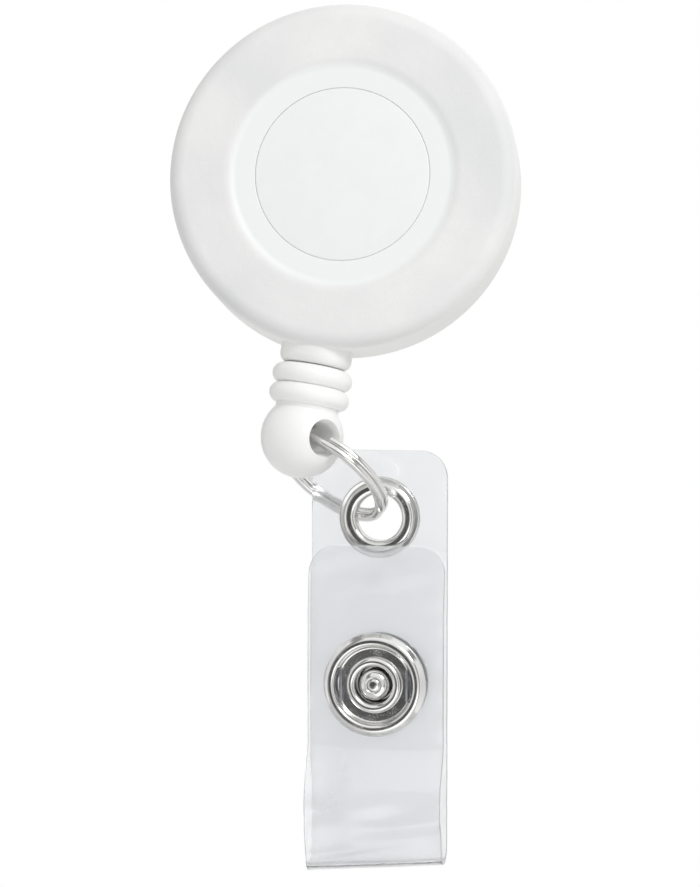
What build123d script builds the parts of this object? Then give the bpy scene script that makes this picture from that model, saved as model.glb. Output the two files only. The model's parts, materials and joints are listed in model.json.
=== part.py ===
from build123d import *
import os
from math import acos, asin, cos, degrees, radians, sin, sqrt

# A retractable badge reel: a round housing with a sprung spool, a pull cord ending in a ball,
# a split ring, and a folded vinyl strap with an eyelet and a snap. Millimetres.
# The reel's axis is Y and its face looks to -Y. The cord leaves towards -Z.
# The origin lies on the reel's axis, in the middle of the belt clip's gap.

os.makedirs("parts", exist_ok=True)

# belt clip
belt_gap = 3.0
clip_thickness = 0.8
clip_width = 9.5
clip_rise = 13.0  # bend centre above the reel's axis
clip_drop = 10.5  # plate's lower end below the reel's axis
clip_straight = 4.0  # height where the tongue starts to close in
clip_nip = 0.8  # gap left at the tongue's narrowest place
clip_nip_drop = 9.0
clip_flare = 1.6  # how far the tip bends out again
clip_tip_drop = 13.5
clip_corner_radius = 2.0
clip_knee_radius = 10.0
clip_nip_radius = 2.5
rivet_radius = 1.0
rivet_head_radius = 1.9
rivet_head = 0.6
rivet_head_roll = 0.42
rivet_tail = 3.0  # past the rear cover, into the arbor

# housing
housing_radius = 16.0
housing_thickness = 8.0
side_wall = 1.5
front_wall = 1.5
rear_wall = 1.2
front_edge_radius = 1.5
rear_edge_radius = 0.9
recess_radius = 10.0
recess_depth = 0.28
label_radius = 7.9
label_thickness = 0.3
label_gap = 0.1
lip_depth = 1.0
lip_thickness = 0.75
lip_clearance = 0.05
neck_radius = 3.3
neck_length = 1.4  # below the housing's round wall
neck_edge_radius = 0.9
outlet_radius = 1.0
outlet_mouth_radius = 2.6

# spool, arbor and spring
arbor_radius = 2.2
arbor_clearance = 0.05
arbor_slot = 0.6
end_float = 0.3
spool_radius = 13.2
flange_thickness = 0.7
groove_radius = 9.2
spring_cavity_radius = 7.6
spring_strip = 0.25
spring_height = 3.3
spring_coils = 6
anchor_hole_radius = 0.5
anchor_pocket_radius = 0.8
anchor_knot_radius = 0.7
spool_edge_radius = 0.15

# cord
cord_diameter = 0.8
cord_layers = 4
cord_gap = 0.1
knot_radius = 0.8
cord_hole_radius = 0.65
knot_pocket_radius = 1.1

# ball and its ribbed collar, below the neck
collar_seam = 0.1
rib_radius = 0.93
rib_outer_radius = 3.7
rib_pitch = 1.8
collar_core_radius = 2.9
ball_radius = 3.8
ball_drop = 6.6  # ball centre below the neck's end
cross_bore_radius = 1.45
bore_direction = 44.0  # from -Y towards +X

# split ring
ring_radius = 5.5  # centreline
ring_wire_width = 0.9  # across the ring's plane, in to out
ring_wire_layer = 0.62  # each of the two coils, along the ring's axis
ring_shift = 0.58  # wire's centre past the ball's centre
ring_lift = 57.0  # the ring's plane, up from hanging straight down
ring_reach = 160.0  # where along the wire the eyelet hangs

# strap
strap_width = 12.7
strap_thickness = 0.6
strap_top = 6.2  # above the eyelet's centre
strap_drop = 32.1  # fold below the eyelet's centre
strap_corner_radius = 2.5
strap_lean_back = 9.5
strap_lean_side = 8.8
strap_turn = -5.9
front_leaf_top = 2.6  # below the eyelet's centre
front_leaf_gap = 1.2  # middle to middle, at the front leaf's top
snap_drop = 15.3
snap_leaf_gap = 2.0  # middle to middle, at the snap
snap_flat = 6.2  # straight length of the leaf each side of the snap
loop_bulge = 4.2
loop_bulge_drop = 25.7
fold_depth = 2.6
loop_radius = 5.0
leaf_bend_radius = 3.0
leaf_top_radius = 12.0

# eyelet and washer
eyelet_bore_radius = 2.15
eyelet_wall = 0.22
eyelet_flange_radius = 3.75
eyelet_flange = 0.42
eyelet_aside = 0.4  # bore centre from the ring's wire, across the strap
eyelet_below = 0.35  # and down the strap
washer_thickness = 0.35
fit_clearance = 0.05
eyelet_curl = 0.6  # rolled-over back edge, beyond the barrel
eyelet_slope = 0.5  # of the flange towards its outer edge
eyelet_roll = 0.4  # of the flange into the bore
washer_edge_radius = 0.1

# snap
snap_radius = 4.8
snap_rim_height = 1.0
snap_base = 0.25
snap_rim_inner = 3.9
snap_recess_radius = 3.55
bead_outer_radius = 2.6
bead_inner_radius = 1.95
stud_radius = 1.5
stud_tip_radius = 0.85
stud_flange_radius = 3.6
stud_height = 3.25  # above the back leaf's middle
stud_flange = 0.35
post_radius = 0.8
post_cap_radius = 4.6
post_cap = 0.45
snap_wire_radius = 0.2
snap_wire_length = 3.0
socket_lap = 0.3  # socket's floor past the bead's bore
rim_roll = 0.35
bead_below_rim = 0.15
bead_roll = 0.3
stud_taper = 0.5
barrel_gap = 0.25  # bead's barrel round the stud

# places along the reel's axis
housing_back = -belt_gap / 2 - clip_thickness
housing_face = housing_back - housing_thickness
parting = housing_back - rear_wall
front_inside = housing_face + front_wall
recess_floor = housing_face + recess_depth
label_floor = recess_floor + label_thickness
cavity_radius = housing_radius - side_wall
spool_front = front_inside + end_float
spool_back = parting - end_float
groove_front = spool_front + flange_thickness
groove_back = spool_back - flange_thickness
cord_y = (groove_front + groove_back) / 2
neck_end = -housing_radius - neck_length

front_down = Plane.XZ.offset(-cord_y)  # upright plane through the cord, seen from the front
cord_axis = Axis((0, cord_y, 0), (0, 0, 1))

# housing ------------------------------------------------------------------------------------------
with BuildPart() as front_cover:
    with BuildSketch(Plane.XY):
        with BuildLine():
            Polyline(
                (0, label_floor),
                (label_radius + label_gap, label_floor),
                (label_radius + label_gap, recess_floor),
                (recess_radius, recess_floor),
                (recess_radius + recess_depth / 2, housing_face),
                (housing_radius, housing_face),
                (housing_radius, parting),
                (cavity_radius, parting),
                (cavity_radius, front_inside),
                (0, front_inside),
                close=True,
            )
        shell_profile = make_face()
        front_edge = shell_profile.vertices().group_by(Axis.X)[-1].sort_by(Axis.Y)[0]
        fillet(front_edge, radius=front_edge_radius)
    revolve(axis=Axis.Y)
    with BuildSketch(Plane.XY.offset(-cavity_radius - side_wall / 3)):
        with Locations((0, cord_y)):
            Circle(neck_radius)
    extrude(amount=neck_end + cavity_radius + side_wall / 3)
    neck_rim = front_cover.faces().sort_by(Axis.Z)[0].edges()
    fillet(neck_rim, radius=neck_edge_radius)
    # the neck stands out past the parting line, where the rear cover sits
    with BuildSketch(Plane.XZ.offset(-parting)):
        Circle(housing_radius + fit_clearance)
    extrude(amount=-neck_radius, mode=Mode.SUBTRACT)
    with BuildSketch(front_down):
        with BuildLine():
            Polyline(
                (0, -cavity_radius + side_wall),
                (outlet_mouth_radius, -cavity_radius + side_wall),
                (outlet_mouth_radius, -cavity_radius),
                (outlet_radius, -housing_radius - neck_length / 3),
                (outlet_radius, neck_end),
                (0, neck_end),
                close=True,
            )
        make_face()
    revolve(axis=cord_axis, mode=Mode.SUBTRACT)
front_cover.part.label = "front_cover"

with BuildPart() as rear_cover:
    arbor_tip = front_inside + end_float / 2
    lip_radius = cavity_radius - lip_clearance
    with BuildSketch(Plane.XY):
        with BuildLine():
            Polyline(
                (rivet_radius, housing_back),
                (housing_radius, housing_back),
                (housing_radius, parting),
                (lip_radius, parting),
                (lip_radius, parting - lip_depth),
                (lip_radius - lip_thickness, parting - lip_depth),
                (lip_radius - lip_thickness, parting),
                (arbor_radius, parting),
                (arbor_radius, arbor_tip),
                (rivet_radius, arbor_tip),
                close=True,
            )
        cover_profile = make_face()
        rear_edge = cover_profile.vertices().group_by(Axis.X)[-1].sort_by(Axis.Y)[-1]
        fillet(rear_edge, radius=rear_edge_radius)
    revolve(axis=Axis.Y)
    # slot that takes the spring's inner end
    with BuildSketch(Plane.XZ.offset(-parting)):
        with Locations((arbor_radius, 0)):
            Rectangle(arbor_radius - rivet_radius, arbor_slot)
    extrude(amount=parting - arbor_tip, mode=Mode.SUBTRACT)
rear_cover.part.label = "rear_cover"

with BuildPart() as face_label:
    with BuildSketch(Plane.XZ.offset(-label_floor)):
        Circle(label_radius)
    extrude(amount=label_thickness)
    fillet(face_label.edges().group_by(Axis.Y)[0], radius=label_thickness / 4)
face_label.part.label = "face_label"

# spool and spring ---------------------------------------------------------------------------------
web_back = groove_front + flange_thickness / 6
with BuildPart() as spool:
    with BuildSketch(Plane.XY):
        with BuildLine():
            Polyline(
                (arbor_radius + arbor_clearance, spool_front),
                (spool_radius, spool_front),
                (spool_radius, groove_front),
                (groove_radius, groove_front),
                (groove_radius, groove_back),
                (spool_radius, groove_back),
                (spool_radius, spool_back),
                (spring_cavity_radius, spool_back),
                (spring_cavity_radius, web_back),
                (arbor_radius + arbor_clearance, web_back),
                close=True,
            )
        make_face()
    revolve(axis=Axis.Y)
    fillet(spool.edges().filter_by(GeomType.CIRCLE).group_by(SortBy.RADIUS)[-1], radius=spool_edge_radius)
    # cord hole through the hub, with a pocket for the knot on the inside
    with BuildSketch(Plane.XY.offset(spring_cavity_radius - 1)):
        with Locations((0, cord_y)):
            Circle(anchor_hole_radius)
    extrude(amount=groove_radius - spring_cavity_radius + 2, mode=Mode.SUBTRACT)
    with BuildSketch(Plane.XY.offset(spring_cavity_radius - 1)):
        with Locations((0, cord_y)):
            Circle(anchor_pocket_radius)
    extrude(amount=1 + anchor_knot_radius * 1.5, mode=Mode.SUBTRACT)
spool.part.label = "spool"

with BuildPart() as cord_anchor_knot:
    with Locations((0, cord_y, spring_cavity_radius + anchor_knot_radius * 0.75)):
        Sphere(anchor_knot_radius)
cord_anchor_knot.part.label = "cord_anchor_knot"

# the spring's strip is half-turn arcs whose radius grows from the arbor to the spool's hub
with BuildPart() as power_spring:
    inner_turn = arbor_radius + spring_strip
    outer_turn = spring_cavity_radius - spring_strip
    half_turns = 2 * spring_coils
    growth = (outer_turn - inner_turn) / half_turns
    spring_middle = (web_back + spool_back) / 2
    with BuildLine(Plane.XZ.offset(-spring_middle)) as coil:
        for turn in range(half_turns):
            here = inner_turn + growth * turn
            side = 1 if turn % 2 == 0 else -1
            CenterArc((-side * growth / 2, 0), here + growth / 2, 0 if side > 0 else 180, 180)
    with BuildSketch(coil.line ^ 0):
        Rectangle(spring_strip, spring_height)
    sweep()
power_spring.part.label = "power_spring"

# cord ---------------------------------------------------------------------------------------------
layer_rise = cord_diameter * sqrt(3) / 2
wound_radius = groove_radius + cord_diameter + layer_rise * (cord_layers - 1)
with BuildPart() as cord_wound:
    with BuildSketch(Plane.XZ.offset(-groove_front - fit_clearance)):
        Circle(wound_radius)
        Circle(groove_radius + fit_clearance, mode=Mode.SUBTRACT)
    extrude(amount=-(groove_back - groove_front - 2 * fit_clearance))
cord_wound.part.label = "cord_wound"

# the cord leaves the winding on its left side and bends down into the neck
leave_radius = wound_radius + cord_diameter / 2 + cord_gap
bend_z = -cavity_radius - side_wall / 4
leave_angle = acos(leave_radius / -bend_z)
leave_point = (-leave_radius * sin(leave_angle), -leave_radius * cos(leave_angle))
bend_radius = 2 * cord_diameter
with BuildPart() as cord_run:
    with BuildLine(front_down) as run:
        FilletPolyline(leave_point, (0, bend_z), (0, neck_end), radius=[bend_radius])
    with BuildSketch(run.line ^ 0):
        Circle(cord_diameter / 2)
    sweep()
cord_run.part.label = "cord_run"
print("bend radius of the cord at the outlet", bend_radius)

ball_z = neck_end - ball_drop
knot_z = ball_z + cross_bore_radius + knot_radius
with BuildPart() as cord_lead:
    with BuildSketch(Plane.XY.offset(neck_end)):
        with Locations((0, cord_y)):
            Circle(cord_diameter / 2)
    extrude(amount=knot_z + knot_radius * 0.8 - neck_end)
cord_lead.part.label = "cord_lead"

with BuildPart() as cord_knot:
    with Locations((0, cord_y, knot_z)):
        Sphere(knot_radius)
    # flat where the cord enters the knot
    split(bisect_by=Plane.XY.offset(knot_z + knot_radius * 0.8), keep=Keep.BOTTOM)
cord_knot.part.label = "cord_knot"

# ball with its ribbed collar ----------------------------------------------------------------------
collar_top = neck_end - collar_seam
bore_line = Vector(0, -1, 0).rotate(Axis.Z, bore_direction)
bore_plane = Plane(origin=(0, cord_y, ball_z), x_dir=(0, 0, 1), z_dir=bore_line)
with BuildPart() as cord_ball:
    with BuildSketch(front_down):
        with BuildLine():
            rib_x = rib_outer_radius - rib_radius
            ball_joins = ball_z + sqrt(ball_radius**2 - collar_core_radius**2)
            Line((0, collar_top - rib_radius / 4), (rib_x, collar_top - rib_radius / 4))
            Line((rib_x, collar_top - rib_radius / 4), (collar_core_radius, ball_joins))
            CenterArc(
                (0, ball_z),
                ball_radius,
                90 - degrees(asin(collar_core_radius / ball_radius)),
                -180 + degrees(asin(collar_core_radius / ball_radius)),
            )
            Line((0, ball_z - ball_radius), (0, collar_top - rib_radius / 4))
        make_face()
        for rib in range(2):
            with Locations((rib_x, collar_top - rib_radius - rib * rib_pitch)):
                Circle(rib_radius)
        with Locations((rib_x / 2, collar_top - rib_radius)):
            Rectangle(rib_x, 2 * rib_radius)
    revolve(axis=cord_axis)
    with BuildSketch(Plane.XY.offset(collar_top)):
        with Locations((0, cord_y)):
            Circle(cord_hole_radius)
    extrude(amount=ball_z - collar_top, mode=Mode.SUBTRACT)
    with BuildSketch(Plane.XY.offset(ball_z)):
        with Locations((0, cord_y)):
            Circle(knot_pocket_radius)
    extrude(amount=knot_z + knot_radius + 2 * fit_clearance - ball_z, mode=Mode.SUBTRACT)
    with BuildSketch(bore_plane):
        Circle(cross_bore_radius)
    extrude(amount=2 * ball_radius, both=True, mode=Mode.SUBTRACT)
cord_ball.part.label = "cord_ball"

# split ring ---------------------------------------------------------------------------------------
# two coils lie on each other, so the section is two rounded bars with a groove between them
away = Vector(0, -1, 0).rotate(Axis.Z, bore_direction + 90)
ring_outward = away * sin(radians(ring_lift)) + Vector(0, 0, -1) * cos(radians(ring_lift))
ball_centre = Vector(0, cord_y, ball_z)
ring_centre = ball_centre + ring_outward * (ring_radius - ring_shift)
ring_normal = ring_outward.cross(bore_line)
ring_plane = Plane(origin=ring_centre, x_dir=ring_outward, z_dir=-ring_outward.cross(ring_normal))
with BuildPart() as split_ring:
    with BuildSketch(ring_plane):
        for layer in (-0.5, 0.5):
            with Locations((ring_radius, layer * ring_wire_layer)):
                RectangleRounded(ring_wire_width, ring_wire_layer * 1.02, ring_wire_layer * 0.3)
    revolve(axis=Axis(ring_centre, ring_normal))
split_ring.part.label = "split_ring"

# strap frame: x across, y up the strap, z out of its front ----------------------------------------
strap_up = Vector(0, 0, 1).rotate(Axis.X, strap_lean_back).rotate(Axis.Y, -strap_lean_side)
strap_out = Vector(0, -1, 0).rotate(Axis.X, strap_lean_back).rotate(Axis.Y, -strap_lean_side)
strap_out = strap_out.rotate(Axis((0, 0, 0), strap_up), strap_turn)
strap_across = strap_up.cross(strap_out)
reach = radians(ring_reach)
wire_point = (
    ring_centre - ring_outward * ring_radius * cos(reach) + bore_line * ring_radius * sin(reach)
)
wire_line = ring_outward * sin(reach) + bore_line * cos(reach)
eyelet_centre = wire_point + strap_across * eyelet_aside - strap_up * eyelet_below
strap_plane = Plane(origin=eyelet_centre, x_dir=strap_across, z_dir=strap_out)
side_plane = Plane(origin=eyelet_centre, x_dir=strap_out, z_dir=-strap_across)
half_leaf = strap_thickness / 2
snap_plane = Plane(origin=eyelet_centre - strap_up * snap_drop, x_dir=strap_across, z_dir=strap_out)
snap_axis = Axis(snap_plane.origin, strap_out)
snap_side = Plane(origin=snap_plane.origin, x_dir=strap_across, z_dir=-strap_up)
leaf_face = snap_leaf_gap + half_leaf  # front leaf's outer face at the snap
bead_barrel = stud_radius + barrel_gap

with BuildPart() as strap_back:
    with BuildLine(side_plane) as back_path:
        FilletPolyline(
            (0, strap_top),
            (0, -strap_drop),
            (fold_depth / 2, -strap_drop),
            radius=[fold_depth / 2 * 0.99],
        )
    back_start = strap_plane.from_local_coords(Vector(0, strap_top, 0))
    with BuildSketch(Plane(origin=back_start, x_dir=strap_across, z_dir=-strap_up)):
        Rectangle(strap_width, strap_thickness)
    sweep()
    back_end = strap_back.faces().sort_by(Axis(eyelet_centre, strap_up))[-1].edges()
    fillet(back_end.sort_by(SortBy.LENGTH)[:2], radius=strap_corner_radius)
    with BuildSketch(strap_plane):
        Circle(eyelet_bore_radius + eyelet_wall + fit_clearance)
    extrude(amount=strap_width, both=True, mode=Mode.SUBTRACT)
    with BuildSketch(snap_plane.offset(-strap_thickness)):
        Circle(post_radius + fit_clearance)
    extrude(amount=2 * strap_thickness, mode=Mode.SUBTRACT)
strap_back.part.label = "strap_back"

with BuildPart() as strap_front:
    with BuildLine(side_plane) as front_path:
        FilletPolyline(
            (fold_depth / 2, -strap_drop),
            (fold_depth, -strap_drop),
            (loop_bulge, -loop_bulge_drop),
            (snap_leaf_gap, -snap_drop - snap_flat),
            (snap_leaf_gap, -snap_drop + snap_flat),
            (front_leaf_gap, -front_leaf_top),
            radius=[fold_depth / 2 * 0.9, loop_radius, leaf_bend_radius, leaf_top_radius],
        )
    front_start = strap_plane.from_local_coords(Vector(0, -strap_drop, fold_depth / 2))
    with BuildSketch(Plane(origin=front_start, x_dir=strap_across, z_dir=strap_out)):
        Rectangle(strap_width, strap_thickness)
    sweep()
    front_end = strap_front.faces().sort_by(Axis(eyelet_centre, strap_up))[-1].edges()
    fillet(front_end.sort_by(SortBy.LENGTH)[:2], radius=strap_corner_radius)
    with BuildSketch(snap_plane.offset(snap_leaf_gap - strap_thickness)):
        Circle(bead_barrel + eyelet_wall + fit_clearance)
    extrude(amount=2 * strap_thickness, mode=Mode.SUBTRACT)
strap_front.part.label = "strap_front"
strip_length = sum(edge.length for edge in back_path.edges() + front_path.edges())
print("flat length of the strap", round(strip_length, 1))

# eyelet and washer --------------------------------------------------------------------------------
eyelet_side = Plane(origin=eyelet_centre, x_dir=strap_across, z_dir=-strap_up)
eyelet_axis = Axis(eyelet_centre, strap_out)
curl_back = -half_leaf - washer_thickness
with BuildPart() as eyelet:
    with BuildSketch(eyelet_side):
        with BuildLine():
            barrel = eyelet_bore_radius + eyelet_wall
            Polyline(
                (eyelet_bore_radius, curl_back - eyelet_wall),
                (barrel + eyelet_curl, curl_back - eyelet_wall),
                (barrel + eyelet_curl, curl_back),
                (barrel, curl_back),
                (barrel, half_leaf),
                (eyelet_flange_radius, half_leaf),
                (eyelet_flange_radius, half_leaf + eyelet_flange / 2),
                (eyelet_flange_radius - eyelet_slope, half_leaf + eyelet_flange),
                (eyelet_bore_radius + eyelet_roll, half_leaf + eyelet_flange),
                (eyelet_bore_radius, half_leaf + eyelet_flange / 4),
                close=True,
            )
        make_face()
    revolve(axis=eyelet_axis)
eyelet.part.label = "eyelet"

with BuildPart() as eyelet_washer:
    with BuildSketch(strap_plane.offset(curl_back)):
        Circle(eyelet_flange_radius)
        Circle(barrel + fit_clearance, mode=Mode.SUBTRACT)
    extrude(amount=washer_thickness)
    back_edge = eyelet_washer.edges().filter_by(GeomType.CIRCLE).sort_by(eyelet_axis)[0]
    fillet(back_edge, radius=washer_edge_radius)
eyelet_washer.part.label = "eyelet_washer"

# snap ---------------------------------------------------------------------------------------------
with BuildPart() as snap_stud:
    with BuildSketch(snap_side):
        with BuildLine():
            Polyline(
                (post_radius, half_leaf),
                (stud_flange_radius, half_leaf),
                (stud_flange_radius, half_leaf + stud_flange),
                (stud_radius, half_leaf + stud_flange),
                (stud_radius, stud_height - stud_taper),
                (stud_tip_radius, stud_height),
                (0, stud_height),
                (0, half_leaf + stud_flange),
                (post_radius, half_leaf + stud_flange),
                close=True,
            )
        make_face()
    revolve(axis=snap_axis)
snap_stud.part.label = "snap_stud"

with BuildPart() as snap_post_cap:
    with BuildSketch(snap_side):
        with BuildLine():
            Polyline(
                (0, -half_leaf - post_cap),
                (post_cap_radius - post_cap, -half_leaf - post_cap),
                (post_cap_radius, -half_leaf - post_cap / 2),
                (post_cap_radius, -half_leaf),
                (post_radius, -half_leaf),
                (post_radius, half_leaf + stud_flange),
                (0, half_leaf + stud_flange),
                close=True,
            )
        make_face()
    revolve(axis=snap_axis)
snap_post_cap.part.label = "snap_post_cap"

with BuildPart() as snap_socket:
    with BuildSketch(snap_side):
        with BuildLine():
            Polyline(
                (bead_inner_radius + socket_lap, leaf_face),
                (snap_radius - rim_roll / 2, leaf_face),
                (snap_radius, leaf_face + rim_roll / 2),
                (snap_radius, leaf_face + snap_rim_height - rim_roll),
                (snap_radius - rim_roll, leaf_face + snap_rim_height),
                (snap_rim_inner + rim_roll / 2, leaf_face + snap_rim_height),
                (snap_rim_inner, leaf_face + snap_rim_height - rim_roll / 2),
                (snap_recess_radius, leaf_face + snap_base),
                (bead_inner_radius + socket_lap, leaf_face + snap_base),
                close=True,
            )
        make_face()
    revolve(axis=snap_axis)
snap_socket.part.label = "snap_socket"

with BuildPart() as snap_collar:
    with BuildSketch(snap_side):
        with BuildLine():
            inner_face = snap_leaf_gap - half_leaf
            bead_top = leaf_face + snap_rim_height - bead_below_rim
            barrel_out = bead_barrel + eyelet_wall
            Polyline(
                (bead_barrel, inner_face - eyelet_wall),
                (bead_outer_radius, inner_face - eyelet_wall),
                (bead_outer_radius, inner_face),
                (barrel_out, inner_face),
                (barrel_out, leaf_face + snap_base),
                (bead_outer_radius, leaf_face + snap_base),
                (bead_outer_radius, bead_top - bead_roll),
                (bead_outer_radius - bead_roll, bead_top),
                (bead_inner_radius + 0.1, bead_top),
                (bead_barrel, bead_top - bead_roll),
                close=True,
            )
        make_face()
    revolve(axis=snap_axis)
snap_collar.part.label = "snap_collar"

wire_offset = (bead_outer_radius + snap_recess_radius) / 2
with BuildPart() as snap_spring_wires:
    for side in (-1, 1):
        wire_middle = (
            snap_plane.origin
            + strap_across * side * wire_offset
            + strap_out * (leaf_face + snap_base + snap_wire_radius + fit_clearance)
        )
        with BuildSketch(Plane(origin=wire_middle, x_dir=strap_across, z_dir=strap_up)):
            Circle(snap_wire_radius)
        extrude(amount=snap_wire_length / 2, both=True)
snap_spring_wires.part.label = "snap_spring_wires"

# belt clip ----------------------------------------------------------------------------------------
clip_middle = belt_gap / 2 + clip_thickness / 2
with BuildPart() as belt_clip_plate:
    with BuildLine(Plane.YZ) as plate_path:
        Line((-clip_middle, -clip_drop), (-clip_middle, clip_rise))
        CenterArc((0, clip_rise), clip_middle, 180, -90)
    with BuildSketch(Plane(origin=(0, -clip_middle, -clip_drop), x_dir=(1, 0, 0), z_dir=(0, 0, 1))):
        Rectangle(clip_width, clip_thickness)
    sweep()
    plate_corners = belt_clip_plate.faces().sort_by(Axis.Z)[0].edges().filter_by(Axis.Y)
    fillet(plate_corners, radius=clip_corner_radius)
    with BuildSketch(Plane.XZ.offset(-housing_back)):
        Circle(rivet_radius)
    extrude(amount=-clip_thickness, mode=Mode.SUBTRACT)
belt_clip_plate.part.label = "belt_clip_plate"

with BuildPart() as belt_clip_tongue:
    nip_y = -belt_gap / 2 + clip_nip + clip_thickness / 2
    with BuildLine(Plane.YZ) as tongue_path:
        CenterArc((0, clip_rise), clip_middle, 90, -90)
        FilletPolyline(
            (clip_middle, clip_rise),
            (clip_middle, clip_straight),
            (nip_y, -clip_nip_drop),
            (nip_y + clip_flare, -clip_tip_drop),
            radius=[clip_knee_radius, clip_nip_radius],
        )
    bend_top = clip_rise + clip_middle
    with BuildSketch(Plane(origin=(0, 0, bend_top), x_dir=(1, 0, 0), z_dir=(0, 1, 0))):
        Rectangle(clip_width, clip_thickness)
    sweep()
    tip_point = Vector(0, nip_y + clip_flare, -clip_tip_drop)
    tongue_tip = belt_clip_tongue.faces().sort_by_distance(tip_point)[0].edges()
    fillet(tongue_tip.sort_by(SortBy.LENGTH)[:2], radius=clip_corner_radius)
belt_clip_tongue.part.label = "belt_clip_tongue"

with BuildPart() as clip_rivet:
    with BuildSketch(Plane.XZ.offset(belt_gap / 2)):
        Circle(rivet_head_radius)
    extrude(amount=-rivet_head)
    fillet(clip_rivet.edges().group_by(Axis.Y)[-1], radius=rivet_head_roll)
    with BuildSketch(Plane.XZ.offset(belt_gap / 2)):
        Circle(rivet_radius)
    extrude(amount=clip_thickness + rear_wall + rivet_tail)
clip_rivet.part.label = "clip_rivet"

for piece in (
    front_cover,
    rear_cover,
    face_label,
    spool,
    cord_anchor_knot,
    power_spring,
    cord_wound,
    cord_run,
    cord_lead,
    cord_knot,
    cord_ball,
    split_ring,
    strap_back,
    strap_front,
    eyelet,
    eyelet_washer,
    snap_stud,
    snap_post_cap,
    snap_socket,
    snap_collar,
    snap_spring_wires,
    belt_clip_plate,
    belt_clip_tongue,
    clip_rivet,
):
    export_step(piece.part, f"parts/{piece.part.label}.step")

print("ball turns and slides about", tuple(round(v, 3) for v in ball_centre))
print("ring swings about", tuple(round(v, 4) for v in bore_line))
print("strap swings at", tuple(round(v, 3) for v in wire_point))
print("strap swings about", tuple(round(v, 4) for v in wire_line))
fold_point = strap_plane.from_local_coords(Vector(0, -strap_drop - half_leaf, fold_depth / 2))
print("flap folds at", tuple(round(v, 3) for v in fold_point))
print("flap folds about", tuple(round(v, 4) for v in strap_across))
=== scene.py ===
import json
import math
import bpy
import numpy as np
from mathutils import Matrix, Vector


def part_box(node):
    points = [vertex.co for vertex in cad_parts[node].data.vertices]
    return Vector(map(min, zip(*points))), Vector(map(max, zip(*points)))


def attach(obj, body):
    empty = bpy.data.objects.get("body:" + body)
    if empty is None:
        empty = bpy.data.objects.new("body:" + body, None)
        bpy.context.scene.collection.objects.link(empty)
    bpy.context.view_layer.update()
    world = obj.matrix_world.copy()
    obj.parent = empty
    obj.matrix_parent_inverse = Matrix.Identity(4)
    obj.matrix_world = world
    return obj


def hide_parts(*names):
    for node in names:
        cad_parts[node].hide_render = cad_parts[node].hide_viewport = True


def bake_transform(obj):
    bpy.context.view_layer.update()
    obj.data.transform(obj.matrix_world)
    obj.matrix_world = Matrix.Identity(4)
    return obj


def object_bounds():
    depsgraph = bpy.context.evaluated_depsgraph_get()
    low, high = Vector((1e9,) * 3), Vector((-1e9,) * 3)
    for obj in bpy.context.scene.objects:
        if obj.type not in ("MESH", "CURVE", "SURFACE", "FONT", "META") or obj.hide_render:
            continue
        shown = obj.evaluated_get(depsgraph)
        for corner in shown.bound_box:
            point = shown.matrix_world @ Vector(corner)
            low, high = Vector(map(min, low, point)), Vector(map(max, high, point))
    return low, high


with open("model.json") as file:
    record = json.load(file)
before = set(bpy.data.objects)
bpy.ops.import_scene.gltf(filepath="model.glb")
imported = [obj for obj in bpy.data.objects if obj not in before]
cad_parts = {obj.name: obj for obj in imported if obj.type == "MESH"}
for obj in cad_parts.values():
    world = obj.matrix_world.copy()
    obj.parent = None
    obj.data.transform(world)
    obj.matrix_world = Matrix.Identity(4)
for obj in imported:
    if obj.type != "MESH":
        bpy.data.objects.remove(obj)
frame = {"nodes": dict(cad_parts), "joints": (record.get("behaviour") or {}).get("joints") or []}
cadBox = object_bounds()

# Retractable badge reel. Sizes in the dictionaries are millimetres, the scene is metres.
mm = 0.001
joints = {joint["name"]: joint for joint in frame["joints"]}
bpy.context.scene.view_settings.view_transform = "Standard"


# ---- where things are, all read from the frame
def middleOf(node):
    low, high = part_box(node)
    return (low + high) / 2


def flatNormal(node, towards):
    # a flat piece's normal is that of its largest face
    normal = max(frame["nodes"][node].data.polygons, key=lambda face: face.area).normal.copy()
    return normal if normal.dot(towards) > 0 else -normal


yAxis = Vector((0, 1, 0))
zAxis = Vector((0, 0, 1))
origin = Vector((0, 0, 0))
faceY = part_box("front_cover")[0].y / mm
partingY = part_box("front_cover")[1].y / mm
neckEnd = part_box("front_cover")[0].z / mm
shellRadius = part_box("front_cover")[1].x / mm
ballCentre = Vector(joints["ball_twist"]["pos_m"])
boreLine = Vector(joints["ring_swing"]["axis"]).normalized()
cordFoot = Vector((ballCentre.x, ballCentre.y, 0))
ringCentre = middleOf("split_ring")
ringOutward = (ringCentre - ballCentre).normalized()
ringNormal = ringOutward.cross(boreLine).normalized()
strapAcross = Vector(joints["flap_open"]["axis"]).normalized()
strapOut = flatNormal("snap_post_cap", -yAxis)
strapUp = strapOut.cross(strapAcross).normalized()
washerBehind = 0.475  # from the strap's middle back to the washer's middle
eyeletCentre = middleOf("eyelet_washer") + strapOut * washerBehind * mm
capCentre = middleOf("snap_post_cap")
snapBelow = (eyeletCentre - capCentre).dot(strapUp) / mm
snapCentre = eyeletCentre - strapUp * snapBelow * mm


# ---- modelling helpers
def clearSelection():
    bpy.ops.object.select_all(action="DESELECT")


def startEdit():
    bpy.ops.object.mode_set(mode="EDIT")
    bpy.ops.mesh.select_all(action="SELECT")


def endEdit():
    bpy.ops.object.mode_set(mode="OBJECT")


def makeActive(piece):
    clearSelection()
    piece.select_set(True)
    bpy.context.view_layer.objects.active = piece


def applyModifiers(piece):
    makeActive(piece)
    for modifier in list(piece.modifiers):
        bpy.ops.object.modifier_apply(modifier=modifier.name)


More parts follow.
